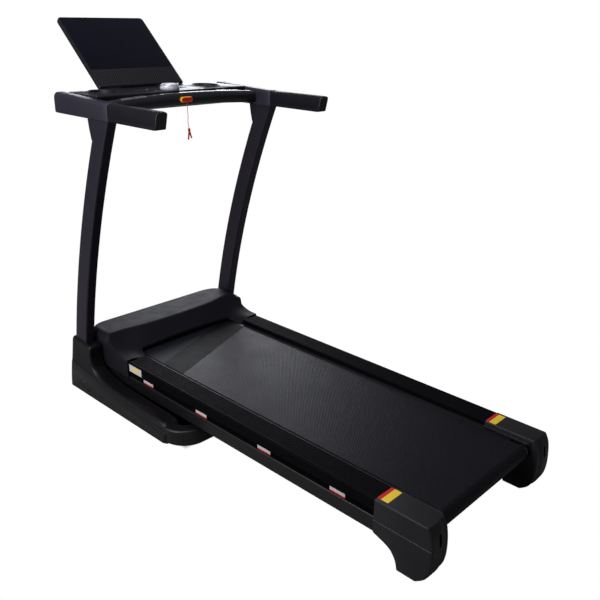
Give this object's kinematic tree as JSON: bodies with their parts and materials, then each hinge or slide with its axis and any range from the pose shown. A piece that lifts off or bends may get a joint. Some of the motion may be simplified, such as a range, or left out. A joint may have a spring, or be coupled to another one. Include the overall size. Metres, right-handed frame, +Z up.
{
  "type": "folding motorised treadmill",
  "caption": "Folding motorised treadmill with a flat running belt, curved uprights, handle arms and a tilted console screen; the deck folds up on a gas strut.",
  "frame": {"origin": "on the floor under the middle of the whole machine's bounding box", "axes": "+Z up, +Y towards the console, +X to the runner's right"},
  "size_m": [0.808, 1.9058, 1.3845],
  "materials": {
    "moulded_black": "fine-grained moulded plastic",
    "gloss_black": "glossy moulded plastic",
    "frame_black": "satin powder coat",
    "belt_rubber": "fine woven-texture running belt",
    "soft_rubber": "matte rubber",
    "grip_rubber": "soft-touch grip",
    "screen_glass": "polished dark panel",
    "steel": "brushed",
    "zinc_steel": "zinc plated",
    "board": "black laminated board",
    "motor_paint": "black enamel",
    "silver_plastic": "bright metallised",
    "red_plastic": "glossy red",
    "red_cord": "braided cord",
    "electronics": "anodised heat sink",
    "wheel_plastic": "hard plastic wheel"
  },
  "bodies": {
    "base": {"base_rail_left": "frame_black", "base_rail_right": "frame_black", "fold_pins": "steel", "base_rear_tube": "frame_black", "base_front_tube": "frame_black", "boot_left": "moulded_black", "boot_right": "moulded_black", "base_feet": "soft_rubber", "wheel_axles": "steel", "upright_left": "frame_black", "upright_right": "frame_black", "arm_left": "moulded_black", "arm_right": "moulded_black", "grip_left": "grip_rubber", "grip_right": "grip_rubber", "grip_caps": "grip_rubber", "handle_bar": "moulded_black", "pulse_plates": "steel", "console_tray": "moulded_black", "console_shell": "moulded_black", "screen_shell": "gloss_black", "screen_glass": "screen_glass", "speaker_panel": "gloss_black", "screen_bracket": "moulded_black", "upright_bolts": "zinc_steel", "boot_screws": "zinc_steel"},
    "deck": {"chassis_rail_left": "frame_black", "chassis_rail_right": "frame_black", "cross_tube_rear": "frame_black", "cross_tube_middle": "frame_black", "cross_tube_front": "frame_black", "running_deck": "board", "deck_cushions": "soft_rubber", "side_rail_left": "moulded_black", "side_rail_right": "moulded_black", "end_cap_left": "moulded_black", "end_cap_right": "moulded_black", "tension_bolts": "zinc_steel", "running_belt": "belt_rubber", "roller_axles": "steel", "drive_motor": "motor_paint", "drive_belt": "soft_rubber", "motor_pan": "frame_black", "motor_controller": "electronics", "power_inlet": "gloss_black", "switch_frame": "moulded_black", "motor_hood": "moulded_black"},
    "rear_roller": {"rear_roller": "steel"},
    "front_roller": {"front_roller": "steel"},
    "motor_rotor": {"motor_rotor": "steel"},
    "power_switch": {"power_switch": "gloss_black"},
    "wheel_left": {"transport_wheel_left": "wheel_plastic"},
    "wheel_right": {"transport_wheel_right": "wheel_plastic"},
    "knob": {"control_knob": "silver_plastic"},
    "safety_key": {"safety_key": "red_plastic", "key_cord": "red_cord", "key_clip": "red_plastic"},
    "strut_barrel": {"strut_barrel": "motor_paint"},
    "strut_rod": {"strut_rod": "steel"}
  },
  "joints": [
    {"name": "deck_fold", "type": "hinge", "parent": "base", "child": "deck", "pos_m": [0, 0.6766, 0.101], "axis": [-1, 0, 0], "range_deg": [0, 65]},
    {"name": "strut_swing", "type": "hinge", "parent": "base", "child": "strut_barrel", "pos_m": [0, 0.6356, 0.036], "axis": [-1, 0, 0], "range_deg": [-0.5, 66]},
    {"name": "strut_slide", "type": "slide", "parent": "strut_barrel", "child": "strut_rod", "axis": [0, -0.9965, 0.0841], "range_m": [0, 0.09]},
    {"name": "front_roller_spin", "type": "hinge", "parent": "deck", "child": "front_roller", "pos_m": [0, 0.5086, 0.145], "axis": [1, 0, 0], "continuous": true},
    {"name": "rear_roller_spin", "type": "hinge", "parent": "deck", "child": "rear_roller", "pos_m": [0, -0.8994, 0.145], "axis": [1, 0, 0], "continuous": true},
    {"name": "motor_spin", "type": "hinge", "parent": "deck", "child": "motor_rotor", "pos_m": [0, 0.6116, 0.152], "axis": [1, 0, 0], "continuous": true},
    {"name": "power_rocker", "type": "hinge", "parent": "deck", "child": "power_switch", "pos_m": [-0.188, 0.7081, 0.116], "axis": [1, 0, 0], "range_deg": [-6, 6]},
    {"name": "wheel_left_spin", "type": "hinge", "parent": "base", "child": "wheel_left", "pos_m": [-0.358, 0.6946, 0.027], "axis": [1, 0, 0], "continuous": true},
    {"name": "wheel_right_spin", "type": "hinge", "parent": "base", "child": "wheel_right", "pos_m": [0.358, 0.6946, 0.027], "axis": [1, 0, 0], "continuous": true},
    {"name": "knob_turn", "type": "hinge", "parent": "base", "child": "knob", "pos_m": [0, 0.5186, 1.15], "axis": [0, 0, 1], "continuous": true},
    {"name": "key_pull", "type": "slide", "parent": "base", "child": "safety_key", "axis": [0, -1, 0], "range_m": [0, 0.02]}
  ],
  "couplings": [
    {"joint": "strut_swing", "follows": "deck_fold", "ratio": 0.99013},
    {"joint": "strut_slide", "follows": "deck_fold", "m_per_rad": 0.072545},
    {"joint": "rear_roller_spin", "follows": "front_roller_spin", "ratio": 1},
    {"joint": "motor_spin", "follows": "front_roller_spin", "ratio": 2.5333}
  ]
}
